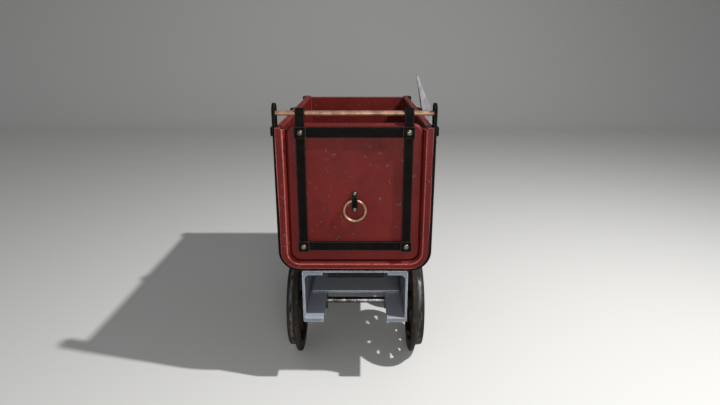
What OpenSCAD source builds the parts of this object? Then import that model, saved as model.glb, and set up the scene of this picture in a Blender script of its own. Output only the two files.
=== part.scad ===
// Mine cart: a riveted steel tub with a top-hung end door, carried on two channel
// sills and two wheelsets, with a poll pick stowed on its right side.
// X is across the cart, Y runs from the door end (-Y) to the closed end (+Y), Z is up.
// The origin is on the track plane, midway along the tub, on the centre line.

/* [Tub] */
// Width of the tub over its side plates
tub_w = 630; // [560:5:760]
// Length of the tub
tub_l = 1260; // [1200:10:1520]
// Height of the tub from its underside to the rim
tub_h = 610; // [500:10:740]
// Thickness of the side plates at the rim
wall_t = 26; // [20:1:32]
// Thickness of the floor
floor_t = 20; // [16:1:26]
// Outer radius of the lower corners
corner_r = 79; // [66:1:95]
// Bevel inside the mouth and along the rim
bevel = 12; // [8:1:14]
// Depth of the stop lip behind the door, across the wall
lip_w = 26; // [22:1:32]
// Thickness of the stop lip
lip_t = 14; // [10:1:18]

/* [Bands] */
// Thickness of the bands round the tub
band_t = 12; // [8:1:14]
// Width of the bands
band_w = 65; // [54:1:80]
// Setback of the end bands from the tub's ends
band_inset = 3; // [2:1:8]
// Height of the ears above the rim
ear_h = 94; // [88:1:115]
// Side of the square bolt heads on the bands
lug_s = 37; // [30:1:42]
// Thickness of the square bolt heads
lug_t = 11; // [8:1:14]

/* [Door] */
// Thickness of the door panel
door_t = 26; // [20:1:30]
// Setback of the door's face from the tub's front
door_inset = 10; // [8:1:12]
// Height of the door's top edge above the rim
door_rise = 15; // [10:1:18]
// Gap between the door and the mouth
door_gap = 2; // [1.5:0.5:4]
// Chamfer round the door's face
door_bevel = 8; // [5:1:9]
// Radius of the door's top corners
door_r = 42; // [32:1:50]
// Width of the upright straps
strap_w = 37; // [32:1:42]
// Thickness of the straps
strap_t = 12; // [9:1:13]
// Distance of an upright strap's centre from the door's edge
strap_inset = 58; // [50:1:70]
// Height of the top strap
top_strap_h = 43; // [36:1:46]
// Height of the bottom strap
low_strap_h = 38; // [32:1:44]
// Height of the bottom strap's lower edge above the tub's underside
low_strap_z = 86; // [80:1:110]
// Side of the corner plates
corner_plate = 46; // [42:1:50]
// Thickness of the corner plates
corner_plate_t = 6; // [4:1:8]
// Radius of the domed bolt heads
dome_r = 11.5; // [10:0.5:13]

/* [Hinge rod] */
// Radius of the hinge rod
rod_r = 10; // [8:0.5:11]
// Height of the rod above the rim
rod_h = 55; // [52:1:60]
// Setback of the rod's centre from the tub's front
rod_inset = 24; // [21:1:26]
// Wall of the knuckles round the rod
knuckle_wall = 11; // [9:1:12]

/* [Ring handle] */
// Mean radius of the ring
ring_r = 44.5; // [38:0.5:50]
// Radius of the ring's wire
wire_r = 5.5; // [4:0.5:6.5]
// Height of the ring's pivot above the tub's underside
ring_z = 309; // [270:1:340]
// Width of the ring's bracket
bracket_w = 24; // [20:1:28]

/* [Sills] */
// Height of a side channel
sill_h = 253; // [210:1:304]
// Distance of a channel's underside above the axle's centre
axle_drop = 75; // [68:1:90]
// Width of a channel's flanges
sill_w = 89; // [80:1:100]
// Web thickness of a channel
web_t = 10; // [8:1:16]
// Flange thickness of a channel
flange_t = 22; // [16:1:26]
// Distance of a channel's web from the centre line
sill_x = 231; // [222:1:238]
// Thickness of the cross plates
cross_t = 12; // [8:1:16]
// Width of the cross plates along the cart
cross_w = 214; // [180:1:230]
// Half width of the bolsters across the cart
bolster_x = 144; // [120:1:160]
// Thickness of the bolsters
bolster_t = 48; // [40:1:54]
// Distance of a bolster from its axle's centre
bolster_y = 32; // [26:1:44]
// Thickness of the tie bars between the top flanges
tie_t = 10; // [8:1:14]

/* [Wheels] */
// Radius over the flange
flange_r = 256; // [213:1:308]
// Height of the flange above the tread
flange_h = 32; // [24:1:34]
// Free length between the front and rear wheels
wheel_gap = 44; // [20:1:120]
// Distance of the flange's working face from the centre line
gauge_x = 295; // [290:1:310]
// Width of the tread
tread_w = 34; // [30:1:44]
// Width of the flange
flange_w = 26; // [24:1:30]
// Thickness of the wheel's web
disc_t = 14; // [10:1:18]
// Number of windows in a wheel
windows = 10; // [8:1:12]
// Radius of the axle
axle_r = 17; // [15:0.5:20]

/* [Pick] */
// Distance of the pick's eye from the tub's side
pick_out = 81; // [76:1:95]
// Depth of the pick's eye below the rim
pick_drop = 115; // [100:1:180]
// Distance of the pick's head behind the middle of the tub
pick_y = 70; // [66:1:90]
// Lean of the head towards the tub
pick_lean = 16.3; // [10:0.5:20]
// Length of the point from the eye
point_l = 300; // [250:5:320]
// Radius of the handle
handle_r = 17; // [15:0.5:19]
// Length of the handle behind the head
handle_l = 500; // [440:5:500]

/* [Hidden] */
$fn = 72;
run_gap = 0.05;       // radial clearance of a shaft that turns
seat_gap = 0.2;       // clearance between curved faces that lie on each other
far = 4000;           // longer than any cut needs

half_w = tub_w / 2;
half_l = tub_l / 2;
front_y = -half_l;

axle_z = flange_r;
sill_bottom = axle_z + axle_drop;
sill_top = sill_bottom + sill_h;
ride_h = sill_top + band_t;                   // underside of the tub
rim_z = ride_h + tub_h;

mouth_x = half_w - wall_t;                    // inside of the side plates
mouth_z = ride_h + floor_t;                   // top of the floor
mouth_r = corner_r - (wall_t + floor_t) / 2;
rim_bevel = bevel * 0.6;                      // bevel along the inside of the rim

door_y = front_y + door_inset;                // the door panel's front face
door_x = mouth_x - bevel - door_gap;
door_z0 = mouth_z + bevel + door_gap;
door_z1 = rim_z + door_rise;
plate_back_y = door_y + door_t;
lip_y = plate_back_y + 0.5;

rod_y = front_y + rod_inset;
rod_z = rim_z + rod_h;
knuckle_r = rod_r + knuckle_wall;

strap_x = door_x - strap_inset;
strap_y = door_y - strap_t;                   // front face of the straps
low_z = ride_h + low_strap_z;
top_z = rim_z + 3 - top_strap_h;
corner_low_z = low_z + low_strap_h / 2;
corner_top_z = top_z + top_strap_h / 2;

bolt_r = 6;
stud_r = 8;
nut_r = 11;
nut_h = 10;
sink_r = 12;                                  // countersunk heads in the tub's floor
sink_h = 6;

bracket_t = 4;
ring_slot = wire_r + 2.5;                     // radius of the eye that the ring hangs in
ring_y = door_y - bracket_t - ring_slot;
ring_pivot_z = ride_h + ring_z;
saddle_r = ring_slot + bracket_t;
bracket_bolt_z = [ring_pivot_z + 26, ring_pivot_z - 41];
bracket_bolt_r = 9;                           // head of a bracket bolt

sill_l = tub_l - 8;
sill_nose = 10;                               // outer radius of a channel
sill_fillet = 4;                              // inner radius over the bottom flange
sill_bevel = 15;                              // bevel under the top flange
shelf_z = sill_bottom + flange_t;             // top face of the bottom flanges
cross_x = sill_x - web_t - 10;

axle_y = flange_r + wheel_gap / 2;
box_x0 = sill_x - 85;
box_x1 = sill_x - 13;
box_mid = (box_x0 + box_x1) / 2;
box_r = 45;
bush_r = axle_r + 7;
foot_t = 14;
foot_y = 75;
foot_bolt_y = 60;

tread_r = flange_r - flange_h;
hub_r = 46;
hub_in = box_x1 + 4;
tread_out = gauge_x + tread_w;
rim_in = gauge_x - flange_w;
rim_r = tread_r - 18;
disc_x = rim_in + 23;
nut_t = 16;
washer_t = 4;
axle_l = 2 * (tread_out + washer_t + nut_t);
window_in = hub_r + 80;                       // radius of a window's point
window_out = rim_r - 16;                      // radius of its base
window_w = 56;                                // width of its base
window_round = 5;

band_x = half_w + band_t;
band_y = [front_y + band_inset, -band_w / 2, half_l - band_inset - band_w];
lug_z = rim_z - lug_s / 2;
deck_bolt_x = sill_x - sill_w / 2;

eye_x = half_w + pick_out;
eye_z = rim_z - pick_drop;
eye_r = 31;
eye_t = 42;
point_w = 26;                                 // half width of the point at its root
point_t = 17;                                 // half thickness there
poll = [40, 36, 88];                          // poll: across, along, down from the eye
handle_nose = eye_t / 2 + 8;                  // how far the handle stands out before the eye
wedge = [4, 26, 24];
hook_t = 6;
hook_w = 36;
hook_r = handle_r + 1;
hook_plate = 96;                              // height of a hook's back plate
hook_bolt_z = [-36, 32];
hook_y = [pick_y + 130, pick_y + 400];

// ---------- shared shapes ----------

// Profile along Y: what is drawn as (x, z) is extruded from y0 to y1
module along_y(y0, y1) translate([0, y1, 0]) rotate([90, 0, 0]) linear_extrude(y1 - y0) children();

// Round bar along X from x0 to x1
module bar_x(r, x0, x1) translate([x0, 0, 0]) rotate([0, 90, 0]) cylinder(r = r, h = x1 - x0);

// Round bar along Y from y0 to y1
module bar_y(r, y0, y1) translate([0, y1, 0]) rotate([90, 0, 0]) cylinder(r = r, h = y1 - y0);

// A U: flat sides half_x from the middle, a flat bottom at z0 and round lower corners
module u_outline(half_x, z0, z1, r) union() {
    translate([-half_x, z0 + r]) square([2 * half_x, z1 - z0 - r]);
    translate([-half_x + r, z0]) square([2 * (half_x - r), r + 1]);
    for (s = [-1, 1]) translate([s * (half_x - r), z0 + r]) circle(r);
}

// The door's outline: round corners at its foot and at its top
module door_outline(inset) {
    x = door_x - inset;
    low_r = mouth_r - bevel;
    hull() {
        for (s = [-1, 1]) {
            translate([s * (door_x - low_r), door_z0 + low_r]) circle(low_r - inset);
            translate([s * (door_x - door_r), door_z1 - door_r]) circle(door_r - inset);
        }
    }
}

// A domed bolt head on z = 0
module dome(r) intersection() {
    translate([0, 0, -r * 0.55]) sphere(r * 1.14);
    cylinder(r = r, h = r);
}

// A domed bolt through a stack from y0 (under the head) to y1, head towards -Y
module dome_bolt(z, y0, y1, head_r) translate([0, 0, z]) {
    bar_y(bolt_r, y0, y1);
    translate([0, y0, 0]) rotate([90, 0, 0]) dome(head_r);
}

// A countersunk head from z = 0 up, wider by gap where it is cut out
module sunk_head(gap) {
    cylinder(r1 = bolt_r + gap, r2 = sink_r + gap, h = sink_h);
    if (gap > 0) translate([0, 0, sink_h]) cylinder(r = sink_r + gap, h = 1);
}

// A hexagon nut with its bolt's hole
module nut(r, h, hole_r) difference() {
    cylinder(r = r, h = h, $fn = 6);
    translate([0, 0, -1]) cylinder(r = hole_r + run_gap, h = h + 2);
}

// ---------- tub ----------

module tub_shell() color("firebrick") difference() {
    along_y(front_y, half_l) difference() {
        u_outline(half_w, ride_h, rim_z, corner_r);
        u_outline(mouth_x, mouth_z, rim_z + 1, mouth_r);
        for (s = [-1, 1]) scale([s, 1])
            translate([mouth_x - 1, rim_z + 1]) polygon([[0, 0], [0, -rim_bevel - 2], [rim_bevel + 2, 0]]);
    }
    for (y = band_y, s = [-1, 1]) scale([s, 1, 1]) {
        translate([0, y + band_w / 2, lug_z]) bar_x(stud_r + run_gap, mouth_x - 1, half_w + 1);
        translate([deck_bolt_x, y + band_w / 2, ride_h - 1]) cylinder(r = bolt_r + run_gap, h = floor_t + 2);
        translate([deck_bolt_x, y + band_w / 2, mouth_z - sink_h]) sunk_head(run_gap);
    }
    for (y = hook_y, z = hook_bolt_z)
        translate([0, y, eye_z + z]) bar_x(bolt_r + run_gap, mouth_x - 1, half_w + 1);
}

module rear_end_plate() color("firebrick") along_y(half_l - wall_t, half_l)
    u_outline(mouth_x - seat_gap, mouth_z + seat_gap, rim_z - rim_bevel, mouth_r - seat_gap);

module mouth_opening(inset) u_outline(mouth_x - inset, mouth_z + inset, far, mouth_r - inset);

// Lining of the mouth: a bevel down to the opening, then a lip that the door closes on
module mouth_frame() color("brown") difference() {
    along_y(front_y, lip_y + lip_t)
        u_outline(mouth_x - seat_gap, mouth_z + seat_gap, rim_z - rim_bevel, mouth_r - seat_gap);
    hull() {
        along_y(front_y - 1, front_y) mouth_opening(1, $fn = 32);
        along_y(front_y + bevel - 1, front_y + bevel) mouth_opening(bevel, $fn = 32);
    }
    along_y(front_y + bevel - 1, lip_y) mouth_opening(bevel);
    along_y(lip_y - 1, lip_y + lip_t + 1) u_outline(mouth_x - lip_w, mouth_z + lip_w, far, mouth_r - lip_w / 2);
}

// ---------- bands ----------

// A band round the tub, from y0 on, up to the rim
module band(y0) difference() {
    along_y(y0, y0 + band_w) difference() {
        u_outline(band_x, ride_h - band_t, rim_z, corner_r + band_t);
        u_outline(half_w + seat_gap / 2, ride_h, rim_z + 1, corner_r);
    }
    for (s = [-1, 1]) scale([s, 1, 1]) {
        translate([0, y0 + band_w / 2, lug_z]) bar_x(stud_r + run_gap, half_w - 1, band_x + 1);
        translate([deck_bolt_x, y0 + band_w / 2, sill_top - 1]) cylinder(r = bolt_r + run_gap, h = band_t + 2);
    }
}

// An ear: the band runs on above the rim and ends in a shallow round
module ear() intersection() {
    ear_r = band_w / 2 + 6;
    translate([half_w + seat_gap / 2, band_y[0], rim_z - 1]) cube([band_t - seat_gap / 2, band_w, ear_h + 1]);
    translate([0, band_y[0] + band_w / 2, rim_z + ear_h - ear_r]) union() {
        bar_x(ear_r, half_w, band_x + 1);
        translate([half_w, -band_w, -far]) cube([band_t + 1, 2 * band_w, far]);
    }
}

module front_band() color("dimgray") difference() {
    union() {
        band(band_y[0]);
        for (s = [-1, 1]) scale([s, 1, 1]) ear();
    }
    translate([0, rod_y, rod_z]) bar_x(rod_r, -band_x - 1, band_x + 1);
}

module middle_band() color("dimgray") band(band_y[1]);
module rear_band() color("dimgray") band(band_y[2]);

module band_bolts() color("gray") for (y = band_y, s = [-1, 1]) scale([s, 1, 1]) {
    translate([band_x, y + band_w / 2 - lug_s / 2, lug_z - lug_s / 2]) cube([lug_t, lug_s, lug_s]);
    translate([0, y + band_w / 2, lug_z]) bar_x(stud_r, mouth_x + 1, band_x + 1);
}

module hinge_rod() color("goldenrod") translate([0, rod_y, rod_z]) bar_x(rod_r, -band_x, band_x);

// ---------- sills ----------

// A channel's outline: round outside, with a fillet over the bottom flange and a bevel under the top one
module sill_outline() difference() {
    union() {
        translate([sill_x - sill_w, sill_bottom]) square([sill_w - sill_nose, sill_h]);
        translate([sill_x - sill_nose - 1, sill_bottom + sill_nose])
            square([sill_nose + 1, sill_h - 2 * sill_nose]);
        for (z = [sill_bottom + sill_nose, sill_top - sill_nose])
            translate([sill_x - sill_nose, z]) circle(sill_nose);
    }
    inner_x = sill_x - web_t;
    under_z = sill_top - flange_t;
    union() {
        translate([0, shelf_z + sill_fillet]) square([inner_x, under_z - sill_bevel - shelf_z - sill_fillet]);
        translate([0, shelf_z]) square([inner_x - sill_fillet, sill_fillet + 1]);
        translate([inner_x - sill_fillet, shelf_z + sill_fillet]) circle(sill_fillet);
        polygon([[0, under_z - sill_bevel - 1], [inner_x, under_z - sill_bevel - 1],
            [inner_x, under_z - sill_bevel], [inner_x - sill_bevel, under_z], [0, under_z]]);
    }
}

module sill() difference() {
    along_y(-sill_l / 2, sill_l / 2) sill_outline();
    for (y = band_y) translate([deck_bolt_x, y + band_w / 2, sill_top - flange_t - 1])
        cylinder(r = bolt_r + run_gap, h = flange_t + 2);
    for (s = [-1, 1], t = [-1, 1])
        translate([box_mid, s * axle_y + t * foot_bolt_y, sill_bottom - 1])
            cylinder(r = stud_r + run_gap, h = flange_t + 2);
}

module right_sill() color("slategray") sill();
module left_sill() color("slategray") mirror([1, 0, 0]) sill();

module tie(y0) {
    tip = sill_x - sill_w - seat_gap;
    translate([-tip, y0, sill_top - tie_t]) cube([2 * tip, band_w, tie_t]);
}
module front_tie() color("slategray") tie(-sill_l / 2 + 2);
module rear_tie() color("slategray") tie(sill_l / 2 - 2 - band_w);

module cross_plate() translate([-cross_x, -cross_w / 2, shelf_z]) cube([2 * cross_x, cross_w, cross_t]);
module front_cross_plate() color("slategray") translate([0, -axle_y, 0]) cross_plate();
module rear_cross_plate() color("slategray") translate([0, axle_y, 0]) cross_plate();

// A bolster stands on the inner half of its cross plate, up to the underside of the top flanges
module bolster() translate([-bolster_x, bolster_y, shelf_z + cross_t])
    cube([2 * bolster_x, bolster_t, sill_h - 2 * flange_t - cross_t]);
module front_bolster() color("darkslategray") translate([0, -axle_y, 0]) bolster();
module rear_bolster() color("darkslategray") translate([0, axle_y, 0]) mirror([0, 1, 0]) bolster();

module deck_bolts() color("gray") for (y = band_y, s = [-1, 1])
    translate([s * deck_bolt_x, y + band_w / 2, 0]) {
        foot_z = sill_top - flange_t - nut_h - 2;
        translate([0, 0, foot_z]) cylinder(r = bolt_r, h = mouth_z - foot_z - 1);
        translate([0, 0, mouth_z - sink_h]) sunk_head(0);
    }

module deck_nuts() color("gray") for (y = band_y, s = [-1, 1])
    translate([s * deck_bolt_x, y + band_w / 2, sill_top - flange_t - nut_h]) nut(nut_r, nut_h, bolt_r);

// ---------- axle boxes ----------

module axle_box() difference() {
    union() {
        translate([0, 0, axle_z]) bar_x(box_r, box_x0, box_x1);
        translate([box_x0, -box_r, axle_z]) cube([box_x1 - box_x0, 2 * box_r, sill_bottom - axle_z]);
        translate([box_x0, -foot_y, sill_bottom - foot_t]) cube([box_x1 - box_x0, 2 * foot_y, foot_t]);
    }
    translate([0, 0, axle_z]) bar_x(bush_r, box_x0 - 1, box_x1 + 1);
    for (t = [-1, 1]) translate([box_mid, t * foot_bolt_y, sill_bottom - foot_t - 1])
        cylinder(r = stud_r + run_gap, h = foot_t + 2);
}

module bush() translate([0, 0, axle_z]) difference() {
    bar_x(bush_r, box_x0, box_x1 + 2);
    bar_x(axle_r + run_gap, box_x0 - 1, box_x1 + 3);
}

// Puts a right-hand piece of the front axle at one of the four corners
module corner(x_side, y_side) translate([0, y_side * axle_y, 0]) mirror([x_side < 0 ? 1 : 0, 0, 0]) children();

module axle_box_front_left() color("dimgray") corner(-1, -1) axle_box();
module axle_box_front_right() color("dimgray") corner(1, -1) axle_box();
module axle_box_rear_left() color("dimgray") corner(-1, 1) axle_box();
module axle_box_rear_right() color("dimgray") corner(1, 1) axle_box();
module bush_front_left() color("darkgoldenrod") corner(-1, -1) bush();
module bush_front_right() color("darkgoldenrod") corner(1, -1) bush();
module bush_rear_left() color("darkgoldenrod") corner(-1, 1) bush();
module bush_rear_right() color("darkgoldenrod") corner(1, 1) bush();

module axle_box_bolts() color("gray") for (x = [-1, 1], y = [-1, 1], t = [-1, 1])
    corner(x, y) translate([box_mid, t * foot_bolt_y, sill_bottom - foot_t]) {
        translate([0, 0, -1]) cylinder(r = stud_r, h = foot_t + flange_t + 1);
        translate([0, 0, -nut_h]) cylinder(r = stud_r + 6, h = nut_h, $fn = 6);
    }

// ---------- wheelsets ----------

function arc_points(x, y, a0, step, a1) =
    [for (a = [a0 : step : a1]) [x + window_round * cos(a), y + window_round * sin(a)]];

// A window: a triangle with round corners, its point towards the hub
module window_outline() {
    base_x = window_out - window_round;
    base_y = window_w / 2 - window_round;
    polygon(concat(
        arc_points(window_in + 2 * window_round, 0, 115, 26, 245),
        arc_points(base_x, -base_y, -65, 16.25, 0),
        arc_points(base_x, base_y, 0, 16.25, 65)
    ));
}

// Section of a right wheel as (radius, x): rim with flange and coned tread, web, hub
module wheel_section() union() {
    polygon([
        [rim_r, rim_in], [flange_r - 7, rim_in],
        for (a = [0 : 18 : 90]) [flange_r - 7 + 7 * sin(a), rim_in + 7 - 7 * cos(a)],
        for (a = [0 : 15 : 60]) [flange_r - 9 + 9 * cos(a), rim_in + 14 + 9 * sin(a)],
        [tread_r + 3, gauge_x - 3], [tread_r, gauge_x + 3],
        [tread_r - 2, tread_out - 4], [tread_r - 6, tread_out], [rim_r, tread_out]
    ]);
    translate([hub_r - 2, disc_x]) square([rim_r - hub_r + 4, disc_t]);
    translate([axle_r, hub_in]) square([hub_r - axle_r, tread_out - hub_in]);
}

module wheel() difference() {
    translate([0, 0, axle_z]) rotate([0, 90, 0]) rotate_extrude($fn = 96) wheel_section();
    for (i = [0 : windows - 1]) translate([disc_x - 1, 0, axle_z]) rotate([360 / windows * (i + 0.5), 0, 0])
        rotate([0, 90, 0]) rotate([0, 0, 180]) linear_extrude(disc_t + 2) window_outline();
}

module axle(y) translate([0, y, axle_z]) bar_x(axle_r, -axle_l / 2, axle_l / 2);

// What is drawn along Z goes on both ends of an axle, from x0 outwards
module on_both_ends(y, x0) for (s = [-1, 1]) translate([0, y, axle_z])
    scale([s, 1, 1]) translate([x0, 0, 0]) rotate([0, 90, 0]) children();

module axle_washers(y) on_both_ends(y, tread_out) difference() {
    cylinder(r = 34, h = washer_t);
    translate([0, 0, -1]) cylinder(r = axle_r + run_gap, h = washer_t + 2);
}

module axle_nuts(y) on_both_ends(y, tread_out + washer_t) nut(29, nut_t - 3, axle_r);

module front_axle() color("silver") axle(-axle_y);
module rear_axle() color("silver") axle(axle_y);
module front_left_wheel() color("saddlebrown") corner(-1, -1) wheel();
module front_right_wheel() color("saddlebrown") corner(1, -1) wheel();
module rear_left_wheel() color("saddlebrown") corner(-1, 1) wheel();
module rear_right_wheel() color("saddlebrown") corner(1, 1) wheel();
module front_axle_washers() color("gray") axle_washers(-axle_y);
module rear_axle_washers() color("gray") axle_washers(axle_y);
module front_axle_nuts() color("gray") axle_nuts(-axle_y);
module rear_axle_nuts() color("gray") axle_nuts(axle_y);

// ---------- door ----------

module door_panel() color("firebrick") difference() {
    union() {
        along_y(door_y + door_bevel, plate_back_y) door_outline(0);
        hull() {
            along_y(door_y, door_y + 0.5) door_outline(door_bevel, $fn = 32);
            along_y(door_y + door_bevel - 0.5, door_y + door_bevel) door_outline(0, $fn = 32);
        }
    }
    for (s = [-1, 1], z = [corner_low_z, corner_top_z])
        translate([s * strap_x, 0, z]) bar_y(bolt_r + run_gap, door_y - 1, plate_back_y + 1);
    for (z = bracket_bolt_z) translate([0, 0, z]) bar_y(bolt_r + run_gap, door_y - 1, plate_back_y + 1);
}

module hinge_strap() difference() {
    union() {
        translate([strap_x - strap_w / 2, strap_y, low_z]) cube([strap_w, strap_t, rod_z - low_z]);
        translate([0, rod_y, rod_z]) bar_x(knuckle_r, strap_x - strap_w / 2, strap_x + strap_w / 2);
    }
    translate([0, rod_y, rod_z]) bar_x(rod_r + run_gap, strap_x - strap_w, strap_x + strap_w);
    for (z = [corner_low_z, corner_top_z])
        translate([strap_x, 0, z]) bar_y(bolt_r + run_gap, strap_y - 1, door_y + 1);
}
module right_hinge_strap() color("dimgray") hinge_strap();
module left_hinge_strap() color("dimgray") mirror([1, 0, 0]) hinge_strap();

// A level strap between the two uprights
module level_strap(z0, h) translate([-strap_x + strap_w / 2, strap_y, z0])
    cube([2 * strap_x - strap_w, strap_t, h]);
module top_strap() color("dimgray") level_strap(top_z, top_strap_h);
module bottom_strap() color("dimgray") level_strap(low_z, low_strap_h);

module at_corners() for (s = [-1, 1], z = [corner_low_z, corner_top_z])
    translate([s * strap_x, 0, z]) children();

module corner_plates() color("dimgray") at_corners() difference() {
    translate([-corner_plate / 2, strap_y - corner_plate_t, -corner_plate / 2])
        cube([corner_plate, corner_plate_t, corner_plate]);
    bar_y(bolt_r + run_gap, strap_y - corner_plate_t - 1, strap_y + 1);
}
module corner_bolts() color("tan") at_corners()
    dome_bolt(0, strap_y - corner_plate_t, plate_back_y + nut_h, dome_r);
module corner_nuts() color("gray") at_corners()
    translate([0, plate_back_y + nut_h - 1, 0]) rotate([90, 0, 0]) nut(nut_r, nut_h - 1, bolt_r);

// ---------- ring handle ----------

module ring_bracket() color("dimgray") difference() {
    union() {
        translate([-bracket_w / 2, door_y - bracket_t, bracket_bolt_z[1] - 10])
            cube([bracket_w, bracket_t, bracket_bolt_z[0] - bracket_bolt_z[1] + 20]);
        translate([0, ring_y, ring_pivot_z]) bar_x(saddle_r, -bracket_w / 2, bracket_w / 2);
        translate([-bracket_w / 2, ring_y, ring_pivot_z - saddle_r])
            cube([bracket_w, door_y - ring_y, 2 * saddle_r]);
    }
    translate([0, ring_y, ring_pivot_z]) bar_x(ring_slot, -bracket_w, bracket_w);
    for (z = bracket_bolt_z) translate([0, 0, z]) bar_y(bolt_r + run_gap, door_y - bracket_t - 1, door_y + 1);
}

module bracket_bolts() color("tan") for (z = bracket_bolt_z)
    dome_bolt(z, door_y - bracket_t, plate_back_y - 1, bracket_bolt_r);

module ring_handle() color("goldenrod") translate([0, ring_y, ring_pivot_z - ring_r])
    rotate([90, 0, 0]) rotate_extrude() translate([ring_r, 0]) circle(wire_r, $fn = 32);

// ---------- pick ----------

// Places what is drawn round the eye: point up, handle towards +Y
module at_eye() translate([eye_x, pick_y, eye_z]) rotate([0, -pick_lean, 0]) children();

module pick_head() color("lightsteelblue") at_eye() difference() {
    union() {
        // the point: its taper across the cart, met by a thinner taper along it
        intersection() {
            along_y(-point_t - 3, point_t + 3) taper(point_w, [60, 110], 3);
            rotate([0, 0, 90]) along_y(-point_w - 3, point_w + 3) taper(point_t, [60, 60], 2);
        }
        bar_y(eye_r, -eye_t / 2, eye_t / 2);
        translate([-poll[0] / 2, -poll[1] / 2, -poll[2]]) cube([poll[0], poll[1], poll[2] - 8]);
    }
    bar_y(handle_r, -eye_t, eye_t);
}

// A bar of half width w up to the first height, a little less at the second, then down to its tip
module taper(w, z, tip_w) polygon([
    [-w, 10], [-w, z[0]], [-w + (z[1] - z[0]) / 25, z[1]], [-tip_w, point_l - 2 * tip_w], [0, point_l],
    [tip_w, point_l - 2 * tip_w], [w - (z[1] - z[0]) / 25, z[1]], [w, z[0]], [w, 10]
]);

module pick_handle() color("peru") at_eye() difference() {
    rotate([-90, 0, 0]) rotate_extrude() polygon([
        [0, -handle_nose], [handle_r - 3, -handle_nose], [handle_r, 3 - handle_nose],
        [handle_r, handle_l - 40], [handle_r + 3, handle_l - 25], [handle_r + 3, handle_l - 6],
        [handle_r - 2, handle_l], [0, handle_l]
    ]);
    wedge_block();
}

module wedge_block() translate([-wedge[0] / 2, -handle_nose - 1, -wedge[2] / 2]) cube(wedge);
module pick_wedge() color("gray") at_eye() wedge_block();

// A bracket on the tub's side: back plate, arm, and a half ring that cradles the handle
module pick_hook(y) color("dimgray") translate([0, y - hook_w / 2, 0]) {
    difference() {
        union() {
            translate([half_w, 0, eye_z - hook_plate / 2]) cube([hook_t, hook_w, hook_plate]);
            translate([half_w, 0, eye_z - hook_r - hook_t]) cube([pick_out, hook_w, hook_t]);
            translate([eye_x, 0, eye_z]) bar_y(hook_r + hook_t, 0, hook_w);
        }
        translate([eye_x, 0, eye_z]) bar_y(hook_r, -1, hook_w + 1);
        translate([eye_x - hook_r - hook_t - 1, -1, eye_z + 4])
            cube([2 * (hook_r + hook_t + 1), hook_w + 2, hook_plate]);
        for (z = hook_bolt_z)
            translate([0, hook_w / 2, eye_z + z]) bar_x(bolt_r + run_gap, half_w - 1, half_w + hook_t + 1);
    }
}
module front_pick_hook() pick_hook(hook_y[0]);
module rear_pick_hook() pick_hook(hook_y[1]);

module hook_bolts() color("gray") for (y = hook_y, z = hook_bolt_z) translate([0, y, eye_z + z]) {
    bar_x(bolt_r, mouth_x + 1, half_w + hook_t + 1);
    bar_x(nut_r - 1, half_w + hook_t, half_w + hook_t + 6, $fn = 6);
}

tub_shell();
rear_end_plate();
mouth_frame();
front_band();
middle_band();
rear_band();
band_bolts();
hinge_rod();
left_sill();
right_sill();
front_tie();
rear_tie();
front_cross_plate();
rear_cross_plate();
front_bolster();
rear_bolster();
deck_bolts();
deck_nuts();
axle_box_front_left();
axle_box_front_right();
axle_box_rear_left();
axle_box_rear_right();
bush_front_left();
bush_front_right();
bush_rear_left();
bush_rear_right();
axle_box_bolts();
front_axle();
front_left_wheel();
front_right_wheel();
front_axle_washers();
front_axle_nuts();
rear_axle();
rear_left_wheel();
rear_right_wheel();
rear_axle_washers();
rear_axle_nuts();
door_panel();
left_hinge_strap();
right_hinge_strap();
top_strap();
bottom_strap();
corner_plates();
corner_bolts();
corner_nuts();
ring_bracket();
bracket_bolts();
ring_handle();
pick_head();
pick_handle();
pick_wedge();
front_pick_hook();
rear_pick_hook();
hook_bolts();
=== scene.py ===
from math import cos, pi, radians, sin, tau

import bmesh
import bpy
import numpy as np
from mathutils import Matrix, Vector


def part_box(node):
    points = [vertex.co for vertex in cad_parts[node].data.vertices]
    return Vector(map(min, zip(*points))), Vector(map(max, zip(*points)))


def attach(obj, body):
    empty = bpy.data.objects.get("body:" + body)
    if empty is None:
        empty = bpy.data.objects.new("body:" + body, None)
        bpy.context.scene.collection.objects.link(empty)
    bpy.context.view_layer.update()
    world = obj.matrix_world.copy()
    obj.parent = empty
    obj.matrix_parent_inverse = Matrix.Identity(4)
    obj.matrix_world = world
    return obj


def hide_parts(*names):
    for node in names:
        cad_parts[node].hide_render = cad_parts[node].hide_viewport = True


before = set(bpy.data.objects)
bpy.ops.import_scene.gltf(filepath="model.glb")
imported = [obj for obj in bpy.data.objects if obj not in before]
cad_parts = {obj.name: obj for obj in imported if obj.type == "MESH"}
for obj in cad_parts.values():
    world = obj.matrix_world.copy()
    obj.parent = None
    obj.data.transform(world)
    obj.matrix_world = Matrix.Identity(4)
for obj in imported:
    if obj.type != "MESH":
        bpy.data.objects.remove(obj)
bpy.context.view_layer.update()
print("frame loaded:", len(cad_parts), "nodes")


# ---- shared shapes: every piece is a sheet of points, joined to its neighbours ----

def boxOf(node):
    low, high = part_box(node)
    return np.array(low), np.array(high)


def gridFaces(rows, cols, wrapRows, wrapCols):
    # the quad of cell (i, j) joins points (i, j), (i+1, j), (i+1, j+1) and (i, j+1)
    i = np.arange(rows if wrapRows else rows - 1)
    j = np.arange(cols if wrapCols else cols - 1)
    i, j = np.meshgrid(i, j, indexing="ij")
    nextI = (i + 1) % rows
    nextJ = (j + 1) % cols
    quads = [i * cols + j, nextI * cols + j, nextI * cols + nextJ, i * cols + nextJ]
    return np.stack(quads, axis=-1).reshape(-1, 4)


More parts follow.
